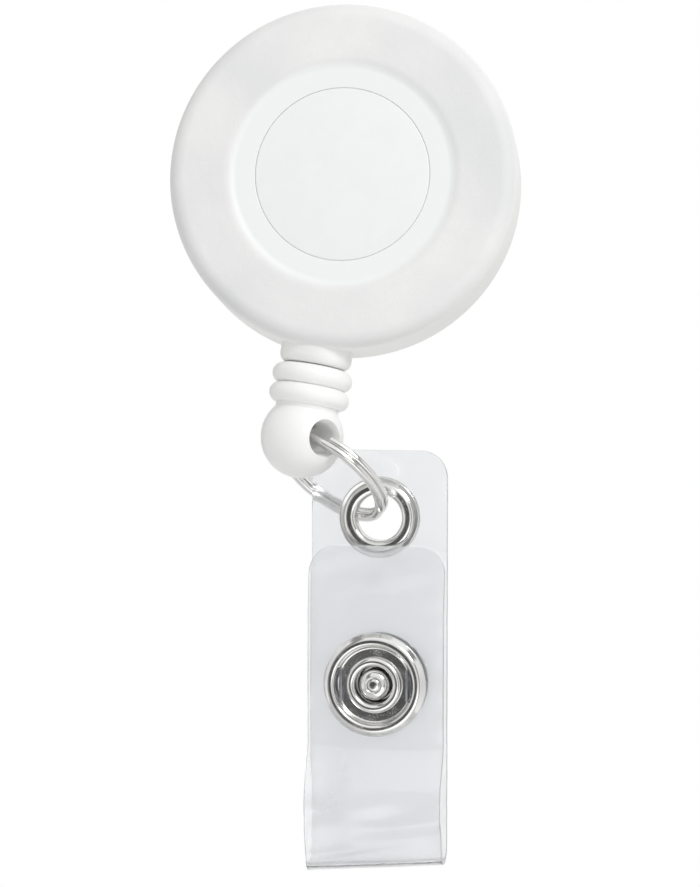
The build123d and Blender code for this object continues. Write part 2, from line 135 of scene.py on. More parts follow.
def tidyMesh(piece, smoothAngle=35, mergeAt=1e-6):
    makeActive(piece)
    startEdit()
    bpy.ops.mesh.remove_doubles(threshold=mergeAt)
    bpy.ops.mesh.select_all(action="SELECT")
    bpy.ops.mesh.normals_make_consistent(inside=False)
    endEdit()
    bpy.ops.object.shade_smooth_by_angle(angle=math.radians(smoothAngle))


def roundCorners(corners, closed, arcSteps=6):
    # corners are (x, y) or (x, y, radius); each radius becomes an arc
    points = []
    for index, corner in enumerate(corners):
        here = Vector(corner[:2])
        radius = corner[2] if len(corner) > 2 else 0
        if radius == 0 or (not closed and index in (0, len(corners) - 1)):
            points.append(here)
            continue
        back = (Vector(corners[index - 1][:2]) - here).normalized()
        ahead = (Vector(corners[(index + 1) % len(corners)][:2]) - here).normalized()
        halfAngle = back.angle(ahead) / 2
        hub = here + (back + ahead).normalized() * radius / math.sin(halfAngle)
        first = here + back * radius / math.tan(halfAngle) - hub
        last = here + ahead * radius / math.tan(halfAngle) - hub
        for step in range(arcSteps + 1):
            spoke = first.lerp(last, step / arcSteps).normalized()
            points.append(hub + spoke * radius)
    return points


def arcPoints(hub, radius, startDegrees, endDegrees, steps):
    points = []
    for step in range(steps + 1):
        angle = math.radians(startDegrees + (endDegrees - startDegrees) * step / steps)
        points.append(Vector((hub[0] + radius * math.cos(angle), hub[1] + radius * math.sin(angle))))
    return points


def spinOutline(name, points, centre, axis, closed, steps=96):
    # a vertex is drawn along the outline (radius, height), then the outline is spun round the axis
    side = axis.orthogonal().normalized()
    places = [centre + (side * point[0] + axis * point[1]) * mm for point in points]
    if closed:
        places.append(places[0])
    clearSelection()
    bpy.ops.mesh.primitive_plane_add(size=mm, location=(0, 0, 0))
    piece = bpy.context.object
    piece.name = name
    startEdit()
    bpy.ops.mesh.merge(type="CENTER")
    bpy.ops.transform.translate(value=places[0])
    for here, there in zip(places, places[1:]):
        bpy.ops.mesh.extrude_region_move(TRANSFORM_OT_translate={"value": there - here})
    bpy.ops.mesh.select_all(action="SELECT")
    bpy.ops.mesh.remove_doubles(threshold=1e-6)
    bpy.ops.mesh.select_all(action="SELECT")
    bpy.ops.mesh.spin(steps=steps, angle=2 * math.pi, center=centre, axis=axis)
    endEdit()
    tidyMesh(piece)
    return piece


def cutWith(piece, cutter, operation="DIFFERENCE"):
    boolean = piece.modifiers.new("cut", "BOOLEAN")
    boolean.operation = operation
    boolean.solver = "EXACT"
    boolean.object = cutter
    applyModifiers(piece)
    bpy.data.objects.remove(cutter)


def joinPieces(pieces, name):
    clearSelection()
    for piece in pieces:
        piece.select_set(True)
    bpy.context.view_layer.objects.active = pieces[0]
    bpy.ops.object.join()
    joined = bpy.context.object
    joined.name = name
    return joined


def dress(piece, material, slotName, body, *nodes):
    # finish, place in the moving model and the CAD nodes that the piece stands for
    piece.data.materials.clear()
    piece.data.materials.append(material)
    if body:
        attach(piece, body)
    if nodes:
        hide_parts(*nodes)


# ---- node helpers
def addNode(tree, kind, links=None, **settings):
    made = tree.nodes.new(kind)
    for key, value in settings.items():
        setattr(made, key, value)
    for key, value in (links or {}).items():
        if isinstance(value, bpy.types.NodeSocket):
            tree.links.new(value, made.inputs[key])
        else:
            made.inputs[key].default_value = value
    return made


def calculate(tree, operation, first, second=0.0, third=0.0):
    links = {0: first, 1: second, 2: third}
    return addNode(tree, "ShaderNodeMath", links, operation=operation).outputs[0]


def mapRange(tree, value, fromLow, fromHigh, toLow=0.0, toHigh=1.0):
    links = {"Value": value, "From Min": fromLow, "From Max": fromHigh, "To Min": toLow, "To Max": toHigh}
    return addNode(tree, "ShaderNodeMapRange", links, interpolation_type="SMOOTHSTEP").outputs[0]


def mixColour(tree, factor, first, second):
    made = addNode(tree, "ShaderNodeMix", {0: factor, 6: first, 7: second}, data_type="RGBA")
    return made.outputs[2]


def noise(tree, vector, scale, detail=3.0, roughness=0.5):
    links = {"Vector": vector, "Scale": scale, "Detail": detail, "Roughness": roughness}
    return addNode(tree, "ShaderNodeTexNoise", links).outputs["Fac"]


def objectPlace(tree):
    return addNode(tree, "ShaderNodeTexCoord").outputs["Object"]


def newGroup(name, inputs, outputs):
    group = bpy.data.node_groups.new(name, "ShaderNodeTree")
    for label, value in inputs.items():
        socket = group.interface.new_socket(label, in_out="INPUT", socket_type="NodeSocketFloat")
        socket.default_value = value
    for label in outputs:
        group.interface.new_socket(label, in_out="OUTPUT", socket_type="NodeSocketFloat")
    entry = group.nodes.new("NodeGroupInput")
    leave = group.nodes.new("NodeGroupOutput")
    return group, entry.outputs, leave.inputs


def useGroup(tree, group, **values):
    made = addNode(tree, "ShaderNodeGroup", node_tree=group)
    for key, value in values.items():
        if isinstance(value, bpy.types.NodeSocket):
            tree.links.new(value, made.inputs[key])
        else:
            made.inputs[key].default_value = value
    return made.outputs


# ---- shared effects
def makeEdgeWear():
    # a mask along convex edges, from the difference between the rounded and the true normal
    group, given, result = newGroup("edgeWear", {"Radius": 0.0001, "Breakup": 900.0}, ["Mask"])
    rounded = addNode(group, "ShaderNodeBevel", {"Radius": given["Radius"]}, samples=4)
    trueNormal = addNode(group, "ShaderNodeNewGeometry").outputs["Normal"]
    links = {0: rounded.outputs[0], 1: trueNormal}
    same = addNode(group, "ShaderNodeVectorMath", links, operation="DOT_PRODUCT").outputs["Value"]
    edge = mapRange(group, calculate(group, "SUBTRACT", 1.0, same), 0.01, 0.12)
    patches = mapRange(group, noise(group, objectPlace(group), given["Breakup"]), 0.35, 0.65)
    group.links.new(calculate(group, "MULTIPLY", edge, patches), result["Mask"])
    return group


def makeFineGrain():
    # the skin of moulded plastic: fine grain, soft mottling and a slow unevenness
    inputs = {"GrainPerMetre": 9000.0, "MottlePerMetre": 600.0}
    group, given, result = newGroup("fineGrain", inputs, ["Height", "Mottle", "Slow"])
    place = objectPlace(group)
    group.links.new(noise(group, place, given["GrainPerMetre"], 2.0), result["Height"])
    mottle = mapRange(group, noise(group, place, given["MottlePerMetre"], 4.0, 0.55), 0.3, 0.7)
    group.links.new(mottle, result["Mottle"])
    slow = mapRange(group, noise(group, place, 90.0, 2.0), 0.3, 0.7)
    group.links.new(slow, result["Slow"])
    return group


def makeScratches():
    # fine hairlines in two directions, as handling leaves on plating
    inputs = {"LinesPerMetre": 14000.0, "Stretch": 0.04}
    group, given, result = newGroup("scratches", inputs, ["Height", "Mask"])
    place = objectPlace(group)
    lines = []
    for turn in (0.5, -0.9):
        links = {"Vector": place, "Rotation": (turn, turn * 0.7, turn)}
        turned = addNode(group, "ShaderNodeMapping", links).outputs[0]
        parts = addNode(group, "ShaderNodeSeparateXYZ", {0: turned}).outputs
        squeezed = calculate(group, "MULTIPLY", parts[2], given["Stretch"])
        drawn = addNode(group, "ShaderNodeCombineXYZ", {0: parts[0], 1: parts[1], 2: squeezed}).outputs[0]
        lines.append(noise(group, drawn, given["LinesPerMetre"], 1.0))
    deepest = calculate(group, "MAXIMUM", lines[0], lines[1])
    group.links.new(deepest, result["Height"])
    group.links.new(mapRange(group, deepest, 0.62, 0.74), result["Mask"])
    return group


def makeSmudges():
    # dull finger marks and settled dust
    group, given, result = newGroup("smudges", {"PerMetre": 260.0}, ["Mask"])
    place = objectPlace(group)
    broad = mapRange(group, noise(group, place, given["PerMetre"], 3.0, 0.6), 0.48, 0.72)
    fine = mapRange(group, noise(group, place, 5200.0, 2.0), 0.4, 0.75)
    speckled = calculate(group, "MULTIPLY_ADD", fine, 0.5, 0.5)
    group.links.new(calculate(group, "MULTIPLY", broad, speckled), result["Mask"])
    return group


def makeBraid():
    # crossing yarns: around and along are both in metres on the cord's surface; the gap output is painted
    # shade for the grooves between the yarns
    inputs = {"Around": 0.0, "Along": 0.0, "YarnWidth": 0.00022}
    group, given, result = newGroup("braid", inputs, ["Height", "GapShade"])
    waves = []
    for sign in (1, -1):
        slanted = calculate(group, "MULTIPLY_ADD", given["Along"], sign, given["Around"])
        turns = calculate(group, "DIVIDE", slanted, given["YarnWidth"])
        waves.append(calculate(group, "SINE", calculate(group, "MULTIPLY", turns, math.pi)))
    over = calculate(group, "ABSOLUTE", calculate(group, "MULTIPLY", waves[0], waves[1]))
    group.links.new(calculate(group, "POWER", over, 0.5), result["Height"])
    # painted shade: a mask for the grooves between the yarns, where the cord's colour is darkened
    group.links.new(mapRange(group, over, 0.3, 0.0), result["GapShade"])
    return group


edgeWear = makeEdgeWear()
fineGrain = makeFineGrain()
scratches = makeScratches()
smudges = makeSmudges()
braid = makeBraid()


# ---- materials
def newMaterial(name, **values):
    material = bpy.data.materials.new(name)
    material.use_nodes = True
    tree = material.node_tree
    tree.nodes.clear()
    shader = tree.nodes.new("ShaderNodeBsdfPrincipled")
    output = tree.nodes.new("ShaderNodeOutputMaterial")
    tree.links.new(shader.outputs[0], output.inputs["Surface"])
    for label, value in values.items():
        shader.inputs[label.replace("_", " ")].default_value = value
    return material, tree, shader.inputs


def bump(tree, sockets, height, depth, strength=1.0):
    links = {"Height": height, "Distance": depth, "Strength": strength}
    tree.links.new(addNode(tree, "ShaderNodeBump", links).outputs[0], sockets["Normal"])


shellLook = {
    "colour": (0.85, 0.85, 0.84, 1),
    "shade": (0.80, 0.805, 0.80, 1),
    "patch": (0.755, 0.765, 0.76, 1),
    "inner": (0.87, 0.89, 0.885, 1),
    "side": (0.93, 0.93, 0.915, 1),
    "worn": (0.95, 0.95, 0.94, 1),
    "smoothRadius": 9.9,
    "frostRadius": 10.6,
    "faceTo": 0.4,  # the face's finish fades into the side wall's between these depths
    "sideFrom": 1.6,
    "mottleShare": 0.4,
    "roughness": 0.34,
    "frostRoughness": 0.26,
    "grainDepth": 0.000022,
}


def makeShellPlastic():
    # frosted face outside the recess, smooth inside it, satin side wall
    material, tree, sockets = newMaterial("shellPlastic", IOR=1.49)
    grain = useGroup(tree, fineGrain, GrainPerMetre=11000.0, MottlePerMetre=750.0)
    wear = useGroup(tree, edgeWear, Radius=0.00012)["Mask"]
    marks = useGroup(tree, smudges, PerMetre=180.0)["Mask"]
    parts = addNode(tree, "ShaderNodeSeparateXYZ", {0: objectPlace(tree)}).outputs
    squares = [calculate(tree, "MULTIPLY", parts[axis], parts[axis]) for axis in (0, 2)]
    reach = calculate(tree, "SQRT", calculate(tree, "ADD", *squares))
    ring = mapRange(tree, reach, shellLook["smoothRadius"] * mm, shellLook["frostRadius"] * mm)
    sideDepth = (faceY + shellLook["sideFrom"]) * mm
    onFace = mapRange(tree, parts[1], sideDepth, (faceY + shellLook["faceTo"]) * mm)
    frost = calculate(tree, "MULTIPLY", ring, onFace)
    mottle = calculate(tree, "MULTIPLY", grain["Mottle"], shellLook["mottleShare"])
    mottled = mixColour(tree, mottle, shellLook["colour"], shellLook["shade"])
    patched = mixColour(tree, calculate(tree, "MULTIPLY", grain["Slow"], frost), mottled, shellLook["patch"])
    disc = calculate(tree, "MULTIPLY", calculate(tree, "SUBTRACT", 1.0, ring), onFace)
    coloured = mixColour(tree, disc, patched, shellLook["inner"])
    coloured = mixColour(tree, onFace, shellLook["side"], coloured)
    tree.links.new(mixColour(tree, wear, coloured, shellLook["worn"]), sockets["Base Color"])
    rough = calculate(tree, "MULTIPLY_ADD", frost, shellLook["frostRoughness"], shellLook["roughness"])
    rough = calculate(tree, "MULTIPLY_ADD", grain["Slow"], 0.05, rough)
    rough = calculate(tree, "MULTIPLY_ADD", marks, 0.08, rough)
    tree.links.new(calculate(tree, "MULTIPLY_ADD", wear, -0.12, rough), sockets["Roughness"])
    soft = calculate(tree, "MULTIPLY", grain["Mottle"], 0.8)
    height = calculate(tree, "ADD", grain["Height"], soft)
    height = calculate(tree, "MULTIPLY", height, calculate(tree, "MULTIPLY_ADD", frost, 0.85, 0.15))
    bump(tree, sockets, height, shellLook["grainDepth"], 0.8)
    return material


def makeSmoothPlastic(name, colour, roughness, coat, grainPerMetre, depth, glow):
    # glossy or satin moulded plastic
    material, tree, sockets = newMaterial(
        name, IOR=1.5, Coat_Weight=coat, Coat_Roughness=0.2, Subsurface_Weight=glow,
        Subsurface_Radius=(1.0, 1.0, 1.0), Subsurface_Scale=0.0006)
    grain = useGroup(tree, fineGrain, GrainPerMetre=grainPerMetre, MottlePerMetre=420.0)
    marks = useGroup(tree, smudges, PerMetre=300.0)["Mask"]
    wear = useGroup(tree, edgeWear, Radius=0.00008)["Mask"]
    shade = tuple(part * 0.95 for part in colour[:3]) + (1,)
    bright = tuple(min(1.0, part * 1.05) for part in colour[:3]) + (1,)
    mottled = mixColour(tree, calculate(tree, "MULTIPLY", grain["Mottle"], 0.4), colour, shade)
    tree.links.new(mixColour(tree, wear, mottled, bright), sockets["Base Color"])
    rough = calculate(tree, "MULTIPLY_ADD", marks, 0.14, roughness)
    rough = calculate(tree, "MULTIPLY_ADD", grain["Slow"], 0.05, rough)
    tree.links.new(calculate(tree, "MULTIPLY_ADD", wear, 0.08, rough), sockets["Roughness"])
    height = calculate(tree, "MULTIPLY_ADD", grain["Slow"], 1.5, grain["Height"])
    bump(tree, sockets, height, depth, 0.5)
    return material


def makeMetal(name, colour, dark, roughness, linesPerMetre, stretch, depth):
    # plated or bare metal with hairlines, dull marks and bright rubbed edges
    material, tree, sockets = newMaterial(name, Metallic=1.0)
    lines = useGroup(tree, scratches, LinesPerMetre=linesPerMetre, Stretch=stretch)
    marks = useGroup(tree, smudges, PerMetre=420.0)["Mask"]
    wear = useGroup(tree, edgeWear, Radius=0.00006, Breakup=1500.0)["Mask"]
    grain = useGroup(tree, fineGrain, GrainPerMetre=7000.0, MottlePerMetre=900.0)
    tinted = mixColour(tree, calculate(tree, "MULTIPLY", grain["Mottle"], 0.5), colour, dark)
    worn = tuple(min(1.0, part * 1.18) for part in colour[:3]) + (1,)
    tree.links.new(mixColour(tree, wear, tinted, worn), sockets["Base Color"])
    rough = calculate(tree, "MULTIPLY_ADD", marks, 0.16, roughness)
    rough = calculate(tree, "MULTIPLY_ADD", lines["Mask"], 0.12, rough)
    tree.links.new(calculate(tree, "MULTIPLY_ADD", grain["Slow"], 0.05, rough), sockets["Roughness"])
    height = calculate(tree, "MULTIPLY_ADD", grain["Mottle"], 0.7, lines["Height"])
    bump(tree, sockets, height, depth, 0.7)
    return material


def makeNylon(name, axisParts, radius, centre):
    # braided cord: the first two axes turn round the centre at this radius, the last runs along
    material, tree, sockets = newMaterial(name, Sheen_Weight=0.25, Sheen_Roughness=0.5, IOR=1.53)
    parts = addNode(tree, "ShaderNodeSeparateXYZ", {0: objectPlace(tree)}).outputs
    first = calculate(tree, "SUBTRACT", parts[axisParts[0]], centre[axisParts[0]])
    second = calculate(tree, "SUBTRACT", parts[axisParts[1]], centre[axisParts[1]])
    angle = calculate(tree, "ARCTAN2", first, second)
    around = calculate(tree, "MULTIPLY", angle, radius * mm)
    yarns = useGroup(tree, braid, Around=around, Along=parts[axisParts[2]])
    fuzz = useGroup(tree, fineGrain, GrainPerMetre=26000.0, MottlePerMetre=3000.0)
    # painted shade: the cord's colour goes to grey in the gaps between the yarns, with random fuzz mixed in
    fuzzAndGapShade = calculate(tree, "MULTIPLY_ADD", fuzz["Mottle"], 0.25, yarns["GapShade"])
    colour = mixColour(tree, fuzzAndGapShade, (0.86, 0.86, 0.84, 1), (0.62, 0.62, 0.60, 1))
    tree.links.new(colour, sockets["Base Color"])
    tree.links.new(calculate(tree, "MULTIPLY_ADD", fuzz["Mottle"], 0.15, 0.6), sockets["Roughness"])
    height = calculate(tree, "MULTIPLY_ADD", fuzz["Height"], 0.3, yarns["Height"])
    bump(tree, sockets, height, 0.00005)
    return material


vinylLook = {"tint": (0.93, 0.937, 0.95, 1), "haze": (0.87, 0.875, 0.89, 1), "roughness": 0.09}


def makeClearVinyl():
    # clear soft vinyl with a faint grey haze, shallow ripples and dull rubbed patches
    material, tree, sockets = newMaterial(
        "clearVinyl", Transmission_Weight=0.9, IOR=1.45, Coat_Weight=0.6, Coat_Roughness=0.06)
    marks = useGroup(tree, smudges, PerMetre=170.0)["Mask"]
    wear = useGroup(tree, edgeWear, Radius=0.00008)["Mask"]
    grain = useGroup(tree, fineGrain, GrainPerMetre=6500.0, MottlePerMetre=330.0)
    lines = useGroup(tree, scratches, LinesPerMetre=9000.0, Stretch=0.02)
    cloudy = calculate(tree, "MAXIMUM", marks, wear)
    tree.links.new(mixColour(tree, cloudy, vinylLook["tint"], vinylLook["haze"]), sockets["Base Color"])
    rough = calculate(tree, "MULTIPLY_ADD", marks, 0.16, vinylLook["roughness"])
    rough = calculate(tree, "MULTIPLY_ADD", lines["Mask"], 0.10, rough)
    tree.links.new(calculate(tree, "MULTIPLY_ADD", wear, 0.2, rough), sockets["Roughness"])
    height = calculate(tree, "MULTIPLY_ADD", grain["Mottle"], 3.0, grain["Height"])
    height = calculate(tree, "MULTIPLY_ADD", lines["Height"], 0.4, height)
    bump(tree, sockets, height, 0.00001, 0.7)
    return material


shellPlastic = makeShellPlastic()
labelPlastic = makeSmoothPlastic(
    "labelPlastic", (0.87, 0.89, 0.885, 1),
    roughness=0.34, coat=0.0, grainPerMetre=7000.0, depth=0.000003, glow=0.0)
ballPlastic = makeSmoothPlastic(
    "ballPlastic", (0.95, 0.95, 0.937, 1),
    roughness=0.36, coat=0.12, grainPerMetre=6000.0, depth=0.000005, glow=0.3)
spoolPlastic = makeSmoothPlastic(
    "spoolPlastic", (0.76, 0.76, 0.72, 1),
    roughness=0.38, coat=0.0, grainPerMetre=9000.0, depth=0.00001, glow=0.0)
nickel = makeMetal(
    "nickel", (0.83, 0.825, 0.81, 1), (0.72, 0.72, 0.71, 1),
    roughness=0.1, linesPerMetre=13000.0, stretch=0.03, depth=0.0000025)
clipSteel = makeMetal(
    "clipSteel", (0.66, 0.66, 0.65, 1), (0.59, 0.59, 0.58, 1),
    roughness=0.24, linesPerMetre=17000.0, stretch=0.015, depth=0.0000015)
springSteel = makeMetal(
    "springSteel", (0.32, 0.33, 0.35, 1), (0.23, 0.24, 0.26, 1),
    roughness=0.3, linesPerMetre=15000.0, stretch=0.02, depth=0.000003)
cordNylon = makeNylon("cordNylon", (0, 1, 2), 0.4, ballCentre)
woundNylon = makeNylon("woundNylon", (0, 2, 1), 10.5, origin)
clearVinyl = makeClearVinyl()
print("materials made")


# ---- front shell with its neck
shell = {
    "wall": 1.5,
    "edgeRound": 1.5,
    "recessRadius": 9.9,
    "recessDepth": 0.28,
    "recessSlope": 0.8,
    "recessSoft": 1.3,
    "outerSoft": 1.5,  # how much softer the recess's outer corner is than its inner one
    "faceDish": 0.05,  # how far the face sinks between the recess and the edge
    "dishAt": 0.78,  # where it is deepest, as a share of the shell's radius
    "dishBlend": 9.0,
    "pocketRadius": 8.0,
    "pocketDepth": 0.3,
    "neckRadius": 3.3,
    "neckRound": 0.8,
    "neckRoot": 15.0,  # where the neck starts inside the wall, below the reel's axis
    "outletRadius": 1.0,
    "outletMouth": 2.6,
    "outletFlare": 0.25,
    "outletThroat": 1.1,  # above the neck's end, where the funnel becomes the outlet
    "rearClearance": 0.05,
}


def makeFrontShell():
    # outlines are lists of (radius, height, corner radius)
    cavity = shellRadius - shell["wall"]
    inside = faceY + shell["wall"]
    slopeEnd = shell["recessRadius"] + shell["recessSlope"]
    slopeSoft = shell["recessSoft"] * shell["outerSoft"]
    recessFloor = faceY + shell["recessDepth"]
    pocketFloor = recessFloor + shell["pocketDepth"]
    corners = [
        (0, pocketFloor),
        (shell["pocketRadius"], pocketFloor, 0.04),
        (shell["pocketRadius"], recessFloor, 0.09),
        (shell["recessRadius"], recessFloor, shell["recessSoft"]),
        (slopeEnd, faceY + shell["faceDish"] / 2, slopeSoft),
        (shellRadius * shell["dishAt"], faceY + shell["faceDish"], shell["dishBlend"]),
        (shellRadius, faceY, shell["edgeRound"]),
        (shellRadius, partingY, 0.1),
        (cavity, partingY, 0.06),
        (cavity, inside, 0.5),
        (0, inside),
    ]
    body = spinOutline("front_shell", roundCorners(corners, False, 10), origin, yAxis, False, 192)
    root = -shell["neckRoot"]
    neck = [
        (0, root),
        (shell["neckRadius"], root),
        (shell["neckRadius"], neckEnd, shell["neckRound"]),
        (0, neckEnd),
    ]
    neckPiece = spinOutline("neck", roundCorners(neck, False, 12), cordFoot, zAxis, False, 96)
    # the rear cover's edge stands in the part of the neck behind the parting line
    deep = shell["neckRadius"]
    clear = shellRadius + shell["rearClearance"]
    room = [(0, partingY), (clear, partingY), (clear, partingY + deep), (0, partingY + deep)]
    cutWith(neckPiece, spinOutline("room", roundCorners(room, False), origin, yAxis, False, 192))
    cutWith(body, neckPiece, "UNION")
    out = shell["outletRadius"]
    outlet = [
        (0, -cavity + 1),
        (shell["outletMouth"], -cavity + 1),
        (shell["outletMouth"], -cavity, 0.2),
        (out, neckEnd + shell["outletThroat"], 0.4),
        (out, neckEnd + shell["outletFlare"], 0.2),
        (out + shell["outletFlare"], neckEnd - 0.1),
        (0, neckEnd - 0.1),
    ]
    cutWith(body, spinOutline("outlet", roundCorners(outlet, False), cordFoot, zAxis, False, 64))
    tidyMesh(body, 30)
    dress(body, shellPlastic, "shell_plastic", "housing", "front_cover")


makeFrontShell()

label = {"radius": 7.985, "thickness": 0.3, "edgeRound": 0.13}
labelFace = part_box("face_label")[0].y / mm
labelOutline = [
    (0, labelFace),
    (label["radius"], labelFace, label["edgeRound"]),
    (label["radius"], labelFace + label["thickness"], 0.03),
    (0, labelFace + label["thickness"]),
]
labelDisc = spinOutline("label_disc", roundCorners(labelOutline, False), origin, yAxis, False, 160)
dress(labelDisc, labelPlastic, "label_plastic", "housing", "face_label")
print("housing modelled")

# ---- wound cord, in real turns
winding = {"cord": 0.8, "hub": 9.2, "layers": 4, "turns": 3, "first": -7.35, "stepsPerTurn": 64}


def makeWinding():
    layers = []
    rise = winding["cord"] * math.sqrt(3) / 2
    for layer in range(winding["layers"]):
        radius = winding["hub"] + winding["cord"] / 2 + rise * layer
        start = winding["first"] + (layer % 2) * winding["turns"] * winding["cord"]
        clearSelection()
        bpy.ops.mesh.primitive_circle_add(
            vertices=12, radius=winding["cord"] / 2 * mm, fill_type="NGON",
            location=(radius * mm, start * mm, 0))
        ring = bpy.context.object
        bpy.ops.object.transform_apply(location=True)
        startEdit()
        bpy.ops.mesh.delete(type="ONLY_FACE")
        endEdit()
        screw = ring.modifiers.new("turns", "SCREW")
        screw.axis = "Y"
        screw.iterations = winding["turns"]
        screw.screw_offset = winding["cord"] * mm * (1 if layer % 2 == 0 else -1)
        screw.steps = winding["stepsPerTurn"]
        screw.render_steps = winding["stepsPerTurn"]
        applyModifiers(ring)
        startEdit()
        bpy.ops.mesh.fill_holes(sides=0)
        endEdit()
        layers.append(ring)
    piece = joinPieces(layers, "cord_turns")
    tidyMesh(piece, 50)
    dress(piece, woundNylon, "cord_nylon", "spool_body", "cord_wound")


makeWinding()

# ---- the cord between the neck and the ball, which the pull draws out
lead = {"radius": 0.4, "rings": 80}


def makeLead():
    low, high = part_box("cord_lead")
    clearSelection()
    bpy.ops.mesh.primitive_circle_add(
        vertices=20, radius=lead["radius"] * mm, fill_type="NGON", location=(cordFoot.x, cordFoot.y, high.z))
    piece = bpy.context.object
    piece.name = "cord_between"
    bpy.ops.object.transform_apply(location=True)
    startEdit()
    step = Vector((0, 0, low.z - high.z)) / lead["rings"]
    for ring in range(lead["rings"]):
        bpy.ops.mesh.extrude_region_move(TRANSFORM_OT_translate={"value": step})
    endEdit()
    tidyMesh(piece, 50)
    dress(piece, cordNylon, "cord_nylon", None, "cord_lead")
    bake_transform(piece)


makeLead()
print("cord modelled")

# ---- ball with its ribbed collar
ball = {
    "radius": 3.8,
    "coreRadius": 2.9,
    "ribRadius": 0.93,
    "ribHub": 2.77,
    "ribPitch": 1.8,
    "seam": 0.1,
    "boreRadius": 1.45,
    "boreFlare": 0.45,
    "boreEase": 1.6,  # how gently the bore turns into its mouth
    "holeRadius": 0.65,
    "pocketRadius": 1.1,
    "pocketTop": 3.1,  # above the ball's centre
}


def makeBall():
    centreZ = ballCentre.z / mm
    top = neckEnd - ball["seam"]
    firstRib = (ball["ribHub"], top - ball["ribRadius"])
    secondRib = (ball["ribHub"], top - ball["ribRadius"] - ball["ribPitch"])
    meet = math.degrees(math.asin(ball["ribPitch"] / 2 / ball["ribRadius"]))
    leave = math.degrees(math.acos((ball["coreRadius"] - ball["ribHub"]) / ball["ribRadius"]))
    ballStart = math.degrees(math.acos(ball["coreRadius"] / ball["radius"]))
    outline = [Vector((0, top))]
    outline += arcPoints(firstRib, ball["ribRadius"], 90, -meet, 18)
    outline += arcPoints(secondRib, ball["ribRadius"], meet, -leave, 18)
    outline += arcPoints((0, centreZ), ball["radius"], ballStart, -90, 40)
    piece = spinOutline("ribbed_ball", outline, cordFoot, zAxis, False, 128)
    # the cross bore widens towards the ball's surface, the same at both ends
    rim = math.sqrt(ball["radius"] ** 2 - ball["boreRadius"] ** 2)
    flare = ball["boreFlare"]
    mouth = [
        (0, rim + 1),
        (ball["boreRadius"] + flare * 2.2, rim + 1),
        (ball["boreRadius"] + flare * 0.75, rim),
        (ball["boreRadius"], rim - flare * ball["boreEase"], ball["boreEase"]),
    ]
    bore = [(corner[0], -corner[1], *corner[2:]) for corner in mouth] + mouth[::-1]
    cutWith(piece, spinOutline("bore", roundCorners(bore, False, 8), ballCentre, boreLine, False, 72))
    pocketTop = centreZ + ball["pocketTop"]
    hole = [
        (0, centreZ),
        (ball["pocketRadius"], centreZ),
        (ball["pocketRadius"], pocketTop, 0.3),
        (ball["holeRadius"], pocketTop, 0.1),
        (ball["holeRadius"], top - 0.25, 0.2),
        (ball["holeRadius"] + 0.35, top + 0.1),
        (0, top + 0.1),
    ]
    cutWith(piece, spinOutline("cordHole", roundCorners(hole, False), cordFoot, zAxis, False, 48))
    tidyMesh(piece, 32)
    dress(piece, ballPlastic, "ball_plastic", "ball", "cord_ball")


makeBall()
print("ball modelled")

# ---- split ring: one flat wire in two coils
splitRing = {
    "wireWide": 0.9,
    "wireHigh": 0.61,
    "layer": 0.62,
    "farCorner": 0.7,  # how far the CAD ring's outer corner is from its middle plane, in layers
    "corner": 0.25,
    "crossing": 55.0,  # degrees over which the wire climbs to the second coil
    "gap": 5.0,
    "start": 141.0,  # where the lower coil's end lies, from the outward direction
    "stepsPerTurn": 90,
}


def makeSplitRing():
    points = np.array([vertex.co for vertex in frame["nodes"]["split_ring"].data.vertices])
    farthest = np.linalg.norm(points - np.array(ringCentre), axis=1).max()
    aside = splitRing["layer"] * splitRing["farCorner"] * mm
    ringRadius = math.sqrt(farthest**2 - aside**2) - splitRing["wireWide"] / 2 * mm
    clearSelection()
    bpy.ops.mesh.primitive_plane_add(size=1, location=(0, 0, 0))
    piece = bpy.context.object
    piece.name = "split_ring_wire"
    startEdit()
    bpy.ops.transform.resize(value=(splitRing["wireWide"] * mm, splitRing["wireHigh"] * mm, 1))
    bpy.ops.mesh.bevel(offset=splitRing["corner"] * mm, segments=4, affect="VERTICES")
    bpy.ops.mesh.select_all(action="SELECT")
    bpy.ops.mesh.delete(type="ONLY_FACE")
    endEdit()
    # the section's x is the ring's radius and its y the ring's axis
    startAngle = math.radians(splitRing["start"])
    radial = ringOutward * math.cos(startAngle) + boreLine * math.sin(startAngle)
    ahead = ringNormal.cross(radial)
    turned = Matrix((radial, ringNormal, -ahead)).transposed().to_4x4()
    piece.data.transform(Matrix.Translation(ringCentre + radial * ringRadius) @ turned)
    sectionCount = len(piece.data.vertices)
    sweepAngle = 720 - splitRing["crossing"] - splitRing["gap"]
    steps = round(sweepAngle / 360 * splitRing["stepsPerTurn"])
    startEdit()
    bpy.ops.mesh.spin(
        steps=steps, angle=math.radians(sweepAngle), center=ringCentre, axis=ringNormal, use_auto_merge=False)
    endEdit()
    for vertex in piece.data.vertices:
        angle = vertex.index // sectionCount * sweepAngle / steps
        climb = min(1, max(0, (angle - 360 + splitRing["crossing"]) / splitRing["crossing"]))
        climb = climb * climb * (3 - 2 * climb)
        vertex.co += ringNormal * (climb - 0.5) * splitRing["layer"] * mm
    startEdit()
    bpy.ops.mesh.fill_holes(sides=0)
    endEdit()
    tidyMesh(piece, 40)
    dress(piece, nickel, "nickel", "ring", "split_ring")


makeSplitRing()
print("split ring modelled")


# ---- strips bent along a path: the strap and the belt clip
def measurePath(points):
    # lengths along a path of points
    lengths = [0.0]
    for here, there in zip(points, points[1:]):
        lengths.append(lengths[-1] + (there - here).length)
    return np.array(lengths)


def lengthAt(points, lengths, height, last):
    # how far along the path its second coordinate passes this height, the first or the last time
    found = None
    for index in range(len(points) - 1):
        low, high = sorted((points[index].y, points[index + 1].y))
        if low <= height <= high and high > low:
            share = (height - points[index].y) / (points[index + 1].y - points[index].y)
            found = lengths[index] + share * (lengths[index + 1] - lengths[index])
            if not last:
                break
    return found


